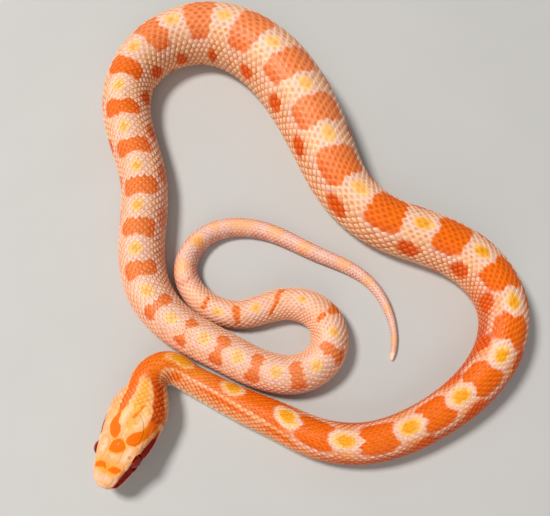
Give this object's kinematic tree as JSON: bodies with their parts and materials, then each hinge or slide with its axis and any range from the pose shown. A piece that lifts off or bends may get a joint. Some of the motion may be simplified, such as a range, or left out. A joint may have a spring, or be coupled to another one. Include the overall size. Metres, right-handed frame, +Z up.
{
  "type": "corn snake",
  "caption": "Life-size young corn snake lying in open loops on the floor, head raised a little: a still model of a pale orange animal with a yellow-spotted back.",
  "frame": {"origin": "on the floor under the middle of the animal's outline as it lies", "axes": "+Z up from the floor; +Y along the longer side of the outline, away from the head's end; +X to the right when it is looked at from the head's end"},
  "size_m": [0.0789, 0.0982, 0.0117],
  "materials": {
    "head_skin": "satin scales, pale peach with orange marks",
    "body_skin": "satin scales, orange saddles on pale pinkish cream with yellow spots",
    "eye": "wet gloss, red iris and dark red pupil"
  },
  "bodies": {
    "root": {"head": "head_skin", "jaw": "head_skin", "eye_left": "eye", "eye_right": "eye", "neck": "body_skin", "trunk_01": "body_skin", "trunk_02": "body_skin", "trunk_03": "body_skin", "trunk_04": "body_skin", "trunk_05": "body_skin", "trunk_06": "body_skin", "trunk_07": "body_skin", "trunk_08": "body_skin", "trunk_09": "body_skin", "trunk_10": "body_skin", "trunk_11": "body_skin", "trunk_12": "body_skin", "trunk_13": "body_skin", "trunk_14": "body_skin", "trunk_15": "body_skin", "trunk_16": "body_skin", "tail_01": "body_skin", "tail_02": "body_skin", "tail_03": "body_skin", "tail_04": "body_skin"}
  },
  "joints": []
}
